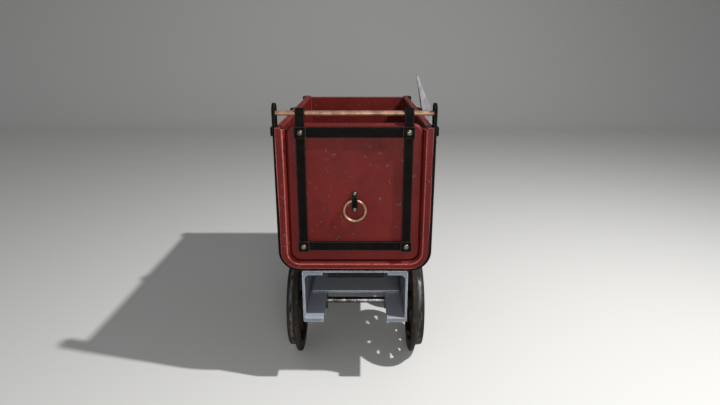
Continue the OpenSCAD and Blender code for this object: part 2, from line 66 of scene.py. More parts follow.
def makePiece(name, sheets, look, body, nodes, bevel=0.0, sharp=38, steps=2):
    # sheets: (points[rows, cols, 3], wrapRows, wrapCols); shared edges merge, then all faces turn outwards
    points = []
    faces = []
    start = 0
    for grid, wrapRows, wrapCols in sheets:
        rows, cols = grid.shape[:2]
        points.append(grid.reshape(-1, 3))
        faces.append(gridFaces(rows, cols, wrapRows, wrapCols) + start)
        start += rows * cols
    mesh = bpy.data.meshes.new(name)
    mesh.from_pydata(np.concatenate(points).tolist(), [], np.concatenate(faces).tolist())
    tidy = bmesh.new()
    tidy.from_mesh(mesh)
    bmesh.ops.remove_doubles(tidy, verts=tidy.verts, dist=1e-5)
    bmesh.ops.dissolve_degenerate(tidy, edges=tidy.edges, dist=1e-6)
    bmesh.ops.recalc_face_normals(tidy, faces=tidy.faces)
    tidy.to_mesh(mesh)
    tidy.free()
    mesh.shade_smooth()
    mesh.set_sharp_from_angle(angle=radians(sharp))
    mesh.materials.append(look)
    piece = bpy.data.objects.new(name, mesh)
    bpy.context.collection.objects.link(piece)
    if bevel:
        edge = piece.modifiers.new("edge", "BEVEL")
        edge.width = bevel
        edge.segments = steps
        edge.limit_method = "ANGLE"
        edge.angle_limit = radians(sharp)
        edge.use_clamp_overlap = True
        piece.modifiers.new("shade", "WEIGHTED_NORMAL").keep_sharp = True
    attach(piece, body)
    if nodes:
        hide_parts(*nodes)
    return piece


def arc(centre, radius, start, end, count):
    # centre + radius (cos a, sin a) for a from start to end, in degrees
    a = np.radians(np.linspace(start, end, count))
    return np.array(centre) + radius * np.stack([np.cos(a), np.sin(a)], axis=1)


def spaced(points, step, closed=False):
    # the same outline with extra points, no two further apart than step
    ends = np.roll(points, -1, axis=0) if closed else points[1:]
    starts = points if closed else points[:-1]
    parts = []
    for a, b in zip(starts, ends):
        count = max(1, int(np.ceil(np.linalg.norm(b - a) / step)))
        parts.append(a + (b - a) * (np.arange(count) / count)[:, None])
    if not closed:
        parts.append(points[-1:])
    return np.concatenate(parts)


def inXZ(points, y=0.0):
    # a flat outline (x, z) stood upright at one y
    return np.stack([points[:, 0], np.full(len(points), y), points[:, 1]], axis=1)


def inYZ(points, x=0.0):
    # a flat outline (y, z) stood upright at one x
    return np.stack([np.full(len(points), x), points[:, 0], points[:, 1]], axis=1)


def leftOf(path):
    # unit normals on the left of a 2-D path: the mean direction of both neighbours, turned a quarter
    run = np.gradient(path, axis=0)
    run /= np.linalg.norm(run, axis=1)[:, None]
    return np.stack([-run[:, 1], run[:, 0]], axis=1)


def sweptBar(path, across, along, section, heart=(0.0, 0.0), closed=False):
    # point (i, j) = path i + across i * section j's first number + along * its second number
    # both ends close on the heart, a point of the section
    ring = path[:, None] + across[:, None] * section[None, :, :1] + along * section[None, :, 1:]
    if closed:
        return ring, True, True
    middle = path[:, None] + across[:, None] * heart[0] + along * heart[1]
    middle = np.repeat(middle, len(section), axis=1)
    return np.concatenate([middle[:1], ring, middle[-1:]]), False, True


def shrink(ring, centre, scale):
    return centre + (ring - centre) * scale


def blockSheet(low, high, step=0.04, axis=0):
    # a bar from low to high: its rectangle is carried along one axis and closes on its middle at both ends
    u, v = [k for k in range(3) if k != axis]
    corners = np.array([[low[u], low[v]], [high[u], low[v]], [high[u], high[v]], [low[u], high[v]]])
    outline = spaced(corners, step, closed=True)
    count = max(2, int(np.ceil((high[axis] - low[axis]) / step)) + 1)
    ring = np.zeros((count, len(outline), 3))
    ring[:, :, axis] = np.linspace(low[axis], high[axis], count)[:, None]
    ring[:, :, u] = outline[:, 0]
    ring[:, :, v] = outline[:, 1]
    middle = (np.array(low) + np.array(high)) / 2
    ends = []
    for k in (0, -1):
        heart = middle.copy()
        heart[axis] = ring[k, 0, axis]
        ends.append(np.stack([shrink(ring[k], heart, s) for s in (0.0, 0.34, 0.67)]))
    return np.concatenate([ends[0], ring, ends[1][::-1]]), False, True


def lathed(profile, centre, axis="x", count=96, closed=True):
    # profile (radius r, place s along the axis) turned about it: the radius lies along cos a and sin a
    a = np.linspace(0, tau, count, endpoint=False)[:, None]
    r = profile[None, :, 0]
    s = profile[None, :, 1] + 0 * a
    around = [s, r * np.cos(a), r * np.sin(a)] if axis == "x" else [r * np.cos(a), s, r * np.sin(a)]
    return np.stack(around, axis=-1) + np.array(centre), True, closed


def rounded(corners, radii, count=4):
    # each corner of a closed outline becomes a curve (1-t)^2 A + 2t(1-t) C + t^2 B between its two sides
    corners = np.array(corners, float)
    radii = np.broadcast_to(np.array(radii, float), len(corners))[:, None]
    back = np.roll(corners, 1, axis=0) - corners
    ahead = np.roll(corners, -1, axis=0) - corners
    a = corners + back / np.linalg.norm(back, axis=1)[:, None] * radii
    b = corners + ahead / np.linalg.norm(ahead, axis=1)[:, None] * radii
    t = np.linspace(0, 1, count)[None, :, None]
    curve = (1 - t) ** 2 * a[:, None] + 2 * t * (1 - t) * corners[:, None] + t ** 2 * b[:, None]
    return curve.reshape(-1, 2)


def dented(points, direction, depth, size, count, seed):
    # beaten sheet metal: the sum of count bell curves exp(-d^2 / 2 size^2) at seeded places on the sheet
    rng = np.random.default_rng(seed)
    flat = points.reshape(-1, 3)
    hits = flat[rng.integers(0, len(flat), count)]
    push = rng.normal(0, depth, count)
    reach = size * rng.uniform(0.5, 1.4, count)
    distance = ((points[..., None, :] - hits) ** 2).sum(axis=-1)
    moved = (push * np.exp(-distance / (2 * reach ** 2))).sum(axis=-1)
    return points + moved[..., None] * np.array(direction)


# ---- materials ----

def srgb(code, alpha=1.0):
    values = np.array([int(code[k:k + 2], 16) for k in (0, 2, 4)]) / 255
    linear = np.where(values <= 0.04045, values / 12.92, ((values + 0.055) / 1.055) ** 2.4)
    return (*linear.tolist(), alpha)


def addNode(tree, kind, settings=None, links=None):
    # settings: node attributes by name, input values by number or by "in:" and the socket's name
    node = tree.nodes.new("ShaderNode" + kind)
    for key, value in (settings or {}).items():
        if isinstance(key, int):
            node.inputs[key].default_value = value
        elif key.startswith("in:"):
            node.inputs[key[3:]].default_value = value
        else:
            setattr(node, key, value)
    for key, source in (links or {}).items():
        tree.links.new(source, node.inputs[key])
    return node


def newLook(name, roughness, metallic, sockets=None):
    look = bpy.data.materials.new(name)
    look.use_nodes = True
    tree = look.node_tree
    shader = tree.nodes["Principled BSDF"]
    shader.inputs["Roughness"].default_value = roughness
    shader.inputs["Metallic"].default_value = metallic
    for key, value in (sockets or {}).items():
        shader.inputs[key].default_value = value
    place = addNode(tree, "TexCoord").outputs["Object"]
    return look, tree, shader, place


def patches(tree, place, size, low, high, detail=4.0, stretch=(1, 1, 1), offset=0.0):
    # soft-edged patches about size metres wide: noise, cut between low and high
    spread = addNode(tree, "Mapping", {1: (offset, offset, offset), 3: stretch}, {0: place})
    noise = addNode(tree, "TexNoise", {"in:Scale": 1 / size, "in:Detail": detail},
                    {"Vector": spread.outputs[0]})
    cut = addNode(tree, "MapRange", {1: low, 2: high}, {0: noise.outputs[0]})
    return cut.outputs[0]


def tint(tree, factor, first, second, mode="MIX"):
    # colour first where the factor is 0, second where it is 1; each is a hex code or a socket
    node = addNode(tree, "Mix", {"data_type": "RGBA", "blend_type": mode}, {0: factor})
    for socket, colour in ((6, first), (7, second)):
        if isinstance(colour, str):
            node.inputs[socket].default_value = srgb(colour)
        else:
            tree.links.new(colour, node.inputs[socket])
    return node.outputs[2]


def combine(tree, operation, first, second, clamp=True):
    node = addNode(tree, "Math", {"operation": operation, "use_clamp": clamp})
    for socket, value in enumerate((first, second)):
        if isinstance(value, (int, float)):
            node.inputs[socket].default_value = value
        else:
            tree.links.new(value, node.inputs[socket])
    return node.outputs[0]


def wornEdges(tree, place, radius, low=0.02, high=0.2):
    # where the surface turns within the radius, broken up by 9 mm patches
    turned = addNode(tree, "Bevel", {"samples": 6, "in:Radius": radius})
    plain = addNode(tree, "NewGeometry")
    dot = addNode(tree, "VectorMath", {"operation": "DOT_PRODUCT"},
                  {0: turned.outputs[0], 1: plain.outputs["Normal"]})
    bend = addNode(tree, "MapRange", {1: 1 - low, 2: 1 - high, 3: 0.0, 4: 1.0}, {0: dot.outputs["Value"]})
    broken = patches(tree, place, 0.009, 0.22, 0.52, detail=6.0)
    return combine(tree, "MULTIPLY", bend.outputs[0], broken)


def relief(tree, shader, height, depth, base=None):
    links = {"Height": height}
    if base is not None:
        links["Normal"] = base
    bump = addNode(tree, "Bump", {"in:Strength": 1.0, "in:Distance": depth}, links)
    tree.links.new(bump.outputs[0], shader.inputs["Normal"])
    return bump.outputs[0]


def feed(tree, source, shader, socket):
    tree.links.new(source, shader.inputs[socket])


def spreadRange(tree, source, low, high):
    return addNode(tree, "MapRange", {3: low, 4: high}, {0: source}).outputs[0]


enamelColours = {"fresh": "56110d", "faded": "611814", "grimy": "380e0b", "rubbed": "a9605d",
                 "steel": "524640"}


def makeRedEnamel():
    # brushed red oxide enamel on sheet steel: satin, chipped to grey steel in 4 to 12 mm flecks
    look, tree, shader, place = newLook("redOxideEnamel", 0.5, 0.0, {"Specular IOR Level": 0.14})
    fade = patches(tree, place, 0.22, 0.36, 0.66)
    grime = patches(tree, place, 0.085, 0.52, 0.74, detail=6.0, offset=3.0)
    colour = tint(tree, fade, enamelColours["fresh"], enamelColours["faded"])
    colour = tint(tree, combine(tree, "MULTIPLY", grime, 0.55), colour, enamelColours["grimy"])
    edges = wornEdges(tree, place, 0.0050, 0.01, 0.14)
    colour = tint(tree, edges, colour, enamelColours["rubbed"])
    flecks = patches(tree, place, 0.024, 0.64, 0.67, detail=4.0, offset=7.0)
    specks = patches(tree, place, 0.010, 0.69, 0.72, detail=3.0, offset=11.0)
    where = patches(tree, place, 0.11, 0.44, 0.52, detail=2.0, offset=5.0)
    chips = combine(tree, "MULTIPLY", combine(tree, "MAXIMUM", flecks, specks), where)
    colour = tint(tree, combine(tree, "MULTIPLY", chips, 0.8), colour, enamelColours["steel"])
    feed(tree, colour, shader, "Base Color")
    feed(tree, combine(tree, "MULTIPLY", chips, 0.3), shader, "Metallic")
    sheen = patches(tree, place, 0.03, 0.3, 0.7, offset=2.0)
    feed(tree, spreadRange(tree, sheen, 0.42, 0.60), shader, "Roughness")
    brushed = patches(tree, place, 0.004, 0.2, 0.8, detail=3.0, stretch=(1, 1, 0.25))
    soft = relief(tree, shader, brushed, 0.00012)
    relief(tree, shader, combine(tree, "SUBTRACT", 1.0, chips), 0.0005, soft)
    return look


def makeBlackSteel():
    # black bituminous paint on flat bar: nearly dull, rubbed to brown-grey steel along the edges
    look, tree, shader, place = newLook("blackPaintedBar", 0.66, 0.0, {"Specular IOR Level": 0.05})
    colour = tint(tree, patches(tree, place, 0.05, 0.35, 0.7), "060503", "0c0b08")
    rust = patches(tree, place, 0.022, 0.62, 0.78, detail=6.0, offset=4.0)
    colour = tint(tree, combine(tree, "MULTIPLY", rust, 0.35), colour, "2a2017")
    edges = wornEdges(tree, place, 0.0030, 0.01, 0.14)
    colour = tint(tree, edges, colour, "6a625a")
    feed(tree, colour, shader, "Base Color")
    feed(tree, combine(tree, "MULTIPLY", edges, 0.4), shader, "Metallic")
    gloss = patches(tree, place, 0.015, 0.3, 0.75, offset=6.0)
    feed(tree, spreadRange(tree, gloss, 0.52, 0.74), shader, "Roughness")
    scale = patches(tree, place, 0.006, 0.3, 0.75, detail=6.0)
    relief(tree, shader, scale, 0.00035)
    return look


def makeMetal(name, base, dark, bright, roughness, grain=0.012, stretch=(1, 1, 1), pits=0.0002, edge=0.0025,
              metallic=1.0, stain=0.5):
    # bare metal: two tones in patches, a darker stain, edges rubbed bright, fine pits or tool marks
    look, tree, shader, place = newLook(name, roughness, metallic)
    colour = tint(tree, patches(tree, place, 0.035, 0.35, 0.68), base, dark)
    spots = patches(tree, place, grain, 0.52, 0.74, detail=6.0, stretch=stretch, offset=2.0)
    colour = tint(tree, combine(tree, "MULTIPLY", spots, stain), colour, dark)
    edges = wornEdges(tree, place, edge)
    colour = tint(tree, edges, colour, bright)
    feed(tree, colour, shader, "Base Color")
    feed(tree, spreadRange(tree, spots, roughness - 0.08, roughness + 0.18), shader, "Roughness")
    marks = patches(tree, place, grain * 0.4, 0.25, 0.75, detail=5.0, stretch=stretch, offset=5.0)
    relief(tree, shader, marks, pits)
    return look


def makeSillSteel():
    # hot-rolled channel with blue-grey mill scale: smooth, edges bright, brown rust on the webs, painted sky
    # light on the faces that look up
    look, tree, shader, place = newLook("millScaleSteel", 0.46, 0.2)
    colour = tint(tree, patches(tree, place, 0.07, 0.35, 0.68), "757c87", "616873")
    geometry = addNode(tree, "NewGeometry")
    facing = addNode(tree, "SeparateXYZ", None, {0: geometry.outputs["Normal"]})
    sideways = combine(tree, "ABSOLUTE", facing.outputs[0], 0.0)
    upright = addNode(tree, "MapRange", {1: 0.5, 2: 0.9}, {0: sideways})
    rust = combine(tree, "MULTIPLY", patches(tree, place, 0.035, 0.40, 0.85, detail=7.0, offset=3.0), 0.8)
    web = combine(tree, "MULTIPLY", rust, upright.outputs[0])
    spots = patches(tree, place, 0.012, 0.66, 0.74, detail=6.0, offset=9.0)
    rusty = combine(tree, "MAXIMUM", web, combine(tree, "MULTIPLY", spots, 0.6))
    colour = tint(tree, rusty, colour, "3c2a1e")
    # painted light: the faces that look up are tinted pale blue-grey, as if lit by the sky above
    paintedSkyLight = addNode(tree, "MapRange", {1: 0.6, 2: 0.95, 3: 0.0, 4: 0.6}, {0: facing.outputs[2]})
    colour = tint(tree, paintedSkyLight.outputs[0], colour, "b4bac4")
    edges = wornEdges(tree, place, 0.0055, 0.005, 0.10)
    colour = tint(tree, edges, colour, "d2d5d9")
    feed(tree, colour, shader, "Base Color")
    feed(tree, combine(tree, "SUBTRACT", 0.25, rusty), shader, "Metallic")
    feed(tree, spreadRange(tree, rusty, 0.40, 0.80), shader, "Roughness")
    relief(tree, shader, patches(tree, place, 0.008, 0.3, 0.75, detail=7.0), 0.0003)
    return look


def makeWheelIron():
    # cast iron, brown with old rust, and green-brown patches that are partly dirt and partly painted
    # reflection of the surroundings; the tread is polished by the rail
    look, tree, shader, place = newLook("rustyCastIron", 0.7, 0.2, {"Specular IOR Level": 0.25})
    colour = tint(tree, patches(tree, place, 0.05, 0.35, 0.66, detail=6.0), "211b13", "17130d")
    colour = tint(tree, patches(tree, place, 0.02, 0.55, 0.72, detail=7.0, offset=4.0), colour, "4a2c1c")
    # green-brown patches: partly dirt, partly a painted reflection of the surroundings
    colour = tint(tree, patches(tree, place, 0.03, 0.58, 0.74, detail=6.0, offset=8.0), colour, "2f2f1b")
    rail = addNode(tree, "Attribute", {"attribute_name": "railWear"}).outputs["Fac"]
    streaks = patches(tree, place, 0.045, 0.44, 0.66, detail=7.0, stretch=(6, 1, 1), offset=1.0)
    polish = combine(tree, "MULTIPLY", rail, streaks)
    edges = wornEdges(tree, place, 0.003)
    colour = tint(tree, combine(tree, "MULTIPLY", edges, 0.6), colour, "7d7468")
    colour = tint(tree, polish, colour, "6d7278")
    feed(tree, colour, shader, "Base Color")
    feed(tree, spreadRange(tree, polish, 0.1, 0.9), shader, "Metallic")
    feed(tree, spreadRange(tree, polish, 0.72, 0.36), shader, "Roughness")
    relief(tree, shader, patches(tree, place, 0.007, 0.3, 0.75, detail=7.0), 0.0006)
    return look


def makeAshWood():
    # oiled ash: pale brown, grain lines 3 to 5 mm apart running along the handle
    look, tree, shader, place = newLook("oiledAsh", 0.48, 0.0)
    rings = addNode(tree, "Mapping", {3: (1.0, 0.06, 1.0)}, {0: place})
    wave = addNode(tree, "TexWave", {"in:Scale": 42.0, "in:Distortion": 5.0, "in:Detail": 4.0},
                   {"Vector": rings.outputs[0]})
    colour = tint(tree, wave.outputs["Fac"], "8d6238", "b1864f")
    handled = patches(tree, place, 0.09, 0.42, 0.70, stretch=(1, 0.4, 1), offset=3.0)
    colour = tint(tree, combine(tree, "MULTIPLY", handled, 0.6), colour, "5b3d23")
    feed(tree, colour, shader, "Base Color")
    feed(tree, spreadRange(tree, handled, 0.40, 0.6), shader, "Roughness")
    relief(tree, shader, wave.outputs["Fac"], 0.0002)
    return look


redEnamel = makeRedEnamel()
blackSteel = makeBlackSteel()
sillSteel = makeSillSteel()
wheelIron = makeWheelIron()
ashWood = makeAshWood()
# drawn brass rod and cast ring: satin, browned by hands and weather
agedBrass = makeMetal("agedBrass", "a57f66", "70523f", "d6b79a", 0.44, grain=0.02, stretch=(1, 2, 2),
                      metallic=0.5)
# bolsters under the floor, dull black paint over mill scale
bolsterBlack = makeMetal("bolsterPaint", "1d1c18", "12110e", "5c574d", 0.6, metallic=0.2, pits=0.0004)
# zinc-dull bolts, nuts and washers
boltSteel = makeMetal("boltSteel", "6b665e", "463f36", "a39d93", 0.45, grain=0.006)
# dome heads rubbed to a warm grey
domeSteel = makeMetal("domeHeadSteel", "84796c", "554b40", "bdb3a4", 0.42, grain=0.005)
# rough sand-cast iron boxes
castIron = makeMetal("sandCastIron", "34322f", "231d17", "6d6861", 0.68, grain=0.008, metallic=0.5,
                     pits=0.0007)
bearingBronze = makeMetal("bearingBronze", "8d6238", "573a20", "c79a63", 0.4)
# turned shaft: rings of tool marks across its length
turnedSteel = makeMetal("turnedSteel", "8c8e91", "4a443c", "c9cbcd", 0.32, grain=0.02, stretch=(5, 1, 1))
# forged and ground pick: smooth light grey
forgedSteel = makeMetal("forgedSteel", "8b8a8c", "6e6d70", "a9a9ac", 0.55, grain=0.03, stretch=(1, 1, 0.5),
                        metallic=0.55)
print("materials made")


# ---- tub ----

tub = {"wallInside": 0.026, "floorTop": 0.020, "cornerRadius": 0.079, "rimBevel": 0.0072, "edge": 0.0016}


def uOutline(halfWidth, low, high, radius, cornerPoints=18, sideStep=0.045):
    # down the left side, round both lower corners and up the right side, as (x, z)
    left = arc((-halfWidth + radius, low + radius), radius, 180, 270, cornerPoints)
    right = arc((halfWidth - radius, low + radius), radius, 270, 360, cornerPoints)
    outline = np.concatenate([[[-halfWidth, high]], left, right, [[halfWidth, high]]])
    return spaced(outline, sideStep)


def matched(outer, inner):
    # the inner outline sampled at the same shares of its length as the outer one
    def share(line):
        run = np.concatenate([[0], np.cumsum(np.linalg.norm(np.diff(line, axis=0), axis=1))])
        return run / run[-1]
    at = share(outer)
    of = share(inner)
    return np.stack([np.interp(at, of, inner[:, 0]), np.interp(at, of, inner[:, 1])], axis=1)


def channelSheets(outer, inner, yValues):
    # two skins along Y, outer and inner, joined by a strip along each lip and by a strip at each end
    outer3, inner3 = (np.stack([inXZ(skin, y) for y in yValues]) for skin in (outer, inner))
    sheets = [(outer3, False, False), (inner3, False, False)]
    for k in (0, -1):
        sheets.append((np.stack([outer3[:, k], inner3[:, k]]), False, False))
        sheets.append((np.stack([outer3[k], inner3[k]]), False, False))
    return sheets


tubLow, tubHigh = boxOf("tub_shell")
halfWidth = tubHigh[0]
mouthX = halfWidth - tub["wallInside"]
mouthZ = tubLow[2] + tub["floorTop"]
mouthRadius = tub["cornerRadius"] - (tub["wallInside"] + tub["floorTop"]) / 2


def makeTub():
    outer = uOutline(halfWidth, tubLow[2], tubHigh[2], tub["cornerRadius"])
    inner = uOutline(mouthX, mouthZ, tubHigh[2] - tub["rimBevel"], mouthRadius)
    inner = matched(outer, inner)
    # the rim's bevel: the inner skin's last points lean out to the top
    lip = np.array([[-mouthX - tub["rimBevel"], tubHigh[2]], [mouthX + tub["rimBevel"], tubHigh[2]]])
    inner = np.concatenate([lip[:1], inner, lip[1:]])
    outer = np.concatenate([outer[:1], outer, outer[-1:]])
    yValues = np.linspace(tubLow[1], tubHigh[1], 45)
    sheets = channelSheets(outer, inner, yValues)
    sides = [(dented(grid, (1, 0, 0.25), 0.0011, 0.075, 26, 5), wrapRows, wrapCols)
             for grid, wrapRows, wrapCols in sheets]
    return makePiece("tubShell", sides, redEnamel, "cart", ["tub_shell"], bevel=tub["edge"])


def plateRings(outline, centre, yFront, yBack, chamfer, rings=22):
    # a plate in the XZ plane: its outline shrinks to the centre on both faces, with a chamfer in front
    facing = leftOf(np.concatenate([outline[-1:], outline, outline[:1]]))[1:-1]
    edge = outline + facing * chamfer
    toward = 1 if yBack > yFront else -1
    faceScales = np.linspace(0, 1, rings)
    rows = [inXZ(shrink(edge, centre, s), yFront) for s in faceScales]
    rows += [inXZ(outline, yFront + toward * chamfer)]
    rows += [inXZ(outline, y) for y in np.linspace(yFront + toward * chamfer, yBack, 3)[1:]]
    rows += [inXZ(shrink(outline, centre, s), yBack) for s in faceScales[::-1][1:]]
    return np.stack(rows), False, True


def closedU(halfX, low, high, lowRadius, topRadius, step=0.03):
    # counter-clockwise from the lower left corner: four arcs joined by straight sides
    outline = np.concatenate([
        arc((-halfX + lowRadius, low + lowRadius), lowRadius, 180, 270, 12),
        arc((halfX - lowRadius, low + lowRadius), lowRadius, 270, 360, 12),
        arc((halfX - topRadius, high - topRadius), topRadius, 0, 90, 12),
        arc((-halfX + topRadius, high - topRadius), topRadius, 90, 180, 12)])
    return spaced(outline, step, closed=True)


def makeEndPlate():
    low, high = boxOf("rear_end_plate")
    outline = closedU(high[0], low[2], high[2], mouthRadius, 0.001)
    centre = np.array([0, (low[2] + high[2]) / 2])
    sheet = plateRings(outline, centre, high[1], low[1], 0.002)
    dents = (dented(sheet[0], (0, 1, 0), 0.0012, 0.08, 14, 9), False, True)
    return makePiece("rearEndPlate", [dents], redEnamel, "cart", ["rear_end_plate"])


mouth = {"bevel": 0.012, "lipWidth": 0.026, "lipDepth": 0.014, "overlap": 0.0020, "proud": 0.0003,
         "coverDepth": 0.001}


def makeMouthFrame():
    # an L-shaped section carried round the mouth: a bevel, a short tunnel, then the stop lip
    low, high = boxOf("mouth_frame")
    path = uOutline(high[0], low[2], high[2], mouthRadius)
    # the bevel starts a little outside its own outline, to cover the tub's softened front edge
    inward = leftOf(path)
    lipY = high[1] - mouth["lipDepth"]
    front = low[1] - mouth["proud"]
    behind = low[1] + mouth["coverDepth"]
    bevel, lip, overlap = mouth["bevel"], mouth["lipWidth"], mouth["overlap"]
    section = rounded([[-overlap, front], [bevel, low[1] + bevel], [bevel, lipY], [lip, lipY],
                       [lip, high[1]], [0, high[1]], [0, behind], [-overlap, behind]],
                      [0.0002, 0.003, 0.002, 0.003, 0.003, 0.001, 0.0001, 0.0001])
    heart = (bevel / 2, (lipY + high[1]) / 2)
    sheet = sweptBar(inXZ(path), inXZ(inward), np.array([0, 1, 0]), section, heart)
    return makePiece("mouthFrame", [sheet], redEnamel, "cart", ["mouth_frame"], bevel=0.001)


makeTub()
makeEndPlate()
makeMouthFrame()
print("tub made")


# ---- bands, rod and their bolts ----

band = {"thickness": 0.012, "edge": 0.0014, "earRadius": 0.0385}


def makeBand(name, node, ears):
    # a flat bar bent round the tub; with ears it runs on above the rim to a shallow round
    low, high = boxOf(node)
    half = band["thickness"] / 2
    path = uOutline(high[0] - half, low[2] + half, high[2], tub["cornerRadius"] + half)
    across = leftOf(path)
    across[np.abs(path[:, 1] - high[2]) < 0.2] *= [1, 0]
    across /= np.linalg.norm(across, axis=1)[:, None]
    halfY = (high[1] - low[1]) / 2
    widths = np.full(len(path), halfY)
    if ears:
        rise = band["earRadius"] * np.sin(np.linspace(0, radians(80), 12))
        top = high[2] - band["earRadius"] + rise
        keep = path[:, 1] < high[2] - band["earRadius"] - 0.001
        body = path[keep]
        left = np.stack([np.full(12, path[0, 0]), top], axis=1)[::-1]
        right = np.stack([np.full(12, path[-1, 0]), top], axis=1)
        path = np.concatenate([left, body, right])
        across = np.concatenate([np.tile([1, 0], (12, 1)), across[keep], np.tile([-1, 0], (12, 1))])
        narrow = np.minimum(halfY, band["earRadius"] * np.cos(np.linspace(0, radians(80), 12)))
        widths = np.concatenate([narrow[::-1], np.full(len(body), halfY), narrow])
    middleY = (low[1] + high[1]) / 2
    section = spaced(np.array([[-half, -1], [half, -1], [half, 1], [-half, 1]]), 0.5, closed=True)
    path3 = inXZ(path, middleY)
    ring = path3[:, None] + inXZ(across)[:, None] * section[None, :, :1]
    ring[:, :, 1] += widths[:, None] * section[None, :, 1]
    ends = np.repeat(path3[[0, -1]][:, None], len(section), axis=1)
    sheet = np.concatenate([ends[:1], ring, ends[1:]])
    sheet = dented(sheet, (0.6, 0.6, 0.3), 0.0003, 0.02, 40, 3)
    return makePiece(name, [(sheet, False, True)], blackSteel, "cart", [node],
                     bevel=band["edge"])


makeBand("frontBand", "front_band", True)
makeBand("middleBand", "middle_band", False)
makeBand("rearBand", "rear_band", False)

bolt = {"lugSide": 0.037, "lugHeight": 0.011, "shankRadius": 0.006, "domeRadius": 0.0115}


def makeBandBolts():
    # a square head with a low pyramid on it, one on each side of each band
    high = boxOf("band_bolts")[1]
    side = bolt["lugSide"] / 2
    z = high[2] - side
    base = high[0] - bolt["lugHeight"]
    square = np.array([[-side, -side], [side, -side], [side, side], [-side, side]])
    outline = spaced(square, 0.02, closed=True)
    steps = [(0.0, 1.0), (0.8, 1.0), (1.0, 0.86), (1.0, 0.4), (1.0, 0.0)]
    sheets = []
    for node in ("front_band", "middle_band", "rear_band"):
        bandLow, bandHigh = boxOf(node)
        y = (bandLow[1] + bandHigh[1]) / 2
        for mirror in (-1, 1):
            rows = [(0.0, 0.0)] + steps
            ring = np.zeros((len(rows), len(outline), 3))
            for row, (rise, scale) in zip(ring, rows):
                row[:, 0] = mirror * (base + rise * bolt["lugHeight"])
                row[:, 1] = y + outline[:, 0] * scale
                row[:, 2] = z + outline[:, 1] * scale
            sheets.append((ring, False, True))
    return makePiece("bandBolts", sheets, blackSteel, "cart", ["band_bolts"], bevel=0.0012)


def makeRod():
    # a drawn rod with small chamfers; its radius wavers by 0.15 mm
    low, high = boxOf("hinge_rod")
    radius = (high[1] - low[1]) / 2
    s = np.linspace(low[0] + 0.001, high[0] - 0.001, 90)
    waver = 0.00015 * np.sin(s * 31) * np.sin(s * 13 + 1)
    body = np.stack([radius - 0.0002 + waver, s], axis=1)
    chamfer = radius - 0.0015
    profile = np.concatenate([[[0, low[0]], [chamfer, low[0]]], body, [[chamfer, high[0]], [0, high[0]]]])
    centre = (0, (low[1] + high[1]) / 2, (low[2] + high[2]) / 2)
    sheet = lathed(profile, centre, "x", 40, closed=False)
    return makePiece("hingeRod", [sheet], agedBrass, "cart", ["hinge_rod"], sharp=50)


makeBandBolts()
makeRod()
print("bands and rod made")


# ---- door ----

door = {"chamfer": 0.008, "topRadius": 0.042, "lowRadius": 0.044, "strapThickness": 0.012,
        "knuckleGap": 0.00005, "cornerPlate": 0.046}


def makeDoorPanel():
    low, high = boxOf("door_panel")
    outline = closedU(high[0], low[2], high[2], door["lowRadius"], door["topRadius"], 0.022)
    centre = np.array([0, (low[2] + high[2]) / 2])
    sheet = plateRings(outline, centre, low[1], high[1], door["chamfer"], 26)
    dents = (dented(sheet[0], (0, 1, 0), 0.0006, 0.06, 30, 21), False, True)
    return makePiece("doorPanel", [dents], redEnamel, "door", ["door_panel"], bevel=0.0012)


def makeHingeStrap(name, node):
    # flat bar up the door's face; its upper end wraps round the rod and closes on itself
    low, high = boxOf(node)
    rodLow, rodHigh = boxOf("hinge_rod")
    rodY = (rodLow[1] + rodHigh[1]) / 2
    rodZ = (rodLow[2] + rodHigh[2]) / 2
    rodRadius = (rodHigh[1] - rodLow[1]) / 2
    wall = (high[2] - rodZ) - rodRadius - door["knuckleGap"]
    mean = rodRadius + door["knuckleGap"] + wall / 2
    half = door["strapThickness"] / 2
    straightY = low[1] + half
    straight = np.stack([np.full(24, straightY), np.linspace(low[2], rodZ - 0.036, 24)], axis=1)
    bend = np.array([[straightY + 0.0012, rodZ - 0.022]])
    wrap = arc((rodY, rodZ), mean, 190, -95, 44)
    path = np.concatenate([straight, bend, wrap])
    thick = np.interp(path[:, 1], [rodZ - 0.05, rodZ - 0.01], [half, wall / 2])
    thick[len(straight) + 1:] = wall / 2
    across = leftOf(path)
    middleX = (low[0] + high[0]) / 2
    halfX = (high[0] - low[0]) / 2
    path3 = inYZ(path, middleX)
    section = np.array([[-1, -halfX], [1, -halfX], [1, halfX], [-1, halfX]])
    ring = path3[:, None] + inYZ(across)[:, None] * (thick[:, None] * section[None, :, 0])[..., None]
    ring[:, :, 0] += section[None, :, 1]
    ends = np.repeat(path3[[0, -1]][:, None], 4, axis=1)
    sheet = np.concatenate([ends[:1], ring, ends[1:]])
    return makePiece(name, [(sheet, False, True)], blackSteel, "door", [node], bevel=0.0014)


def makePlateOf(name, node, body, look, bevel=0.0014, axis=0, step=0.05):
    # a rolled bar or plate with softened edges, in the node's own box
    low, high = boxOf(node)
    return makePiece(name, [blockSheet(low, high, step, axis)], look, body, [node], bevel=bevel)


def domeSheet(place, radius, shank, outward=-1):
    # a low dome on a short skirt and a shank: (r cos a, height, r sin a) along Y
    a = np.linspace(0, pi / 2, 9)
    skirt = np.array([[0, -shank], [bolt["shankRadius"], -shank], [bolt["shankRadius"], 0], [radius, 0],
                      [radius, 0.0018]])
    cap = np.stack([radius * np.cos(a), 0.0018 + radius * 0.44 * np.sin(a)], axis=1)
    profile = np.concatenate([skirt, cap[1:]])
    profile[:, 1] *= outward
    return lathed(profile, place, "y", 28, closed=False)


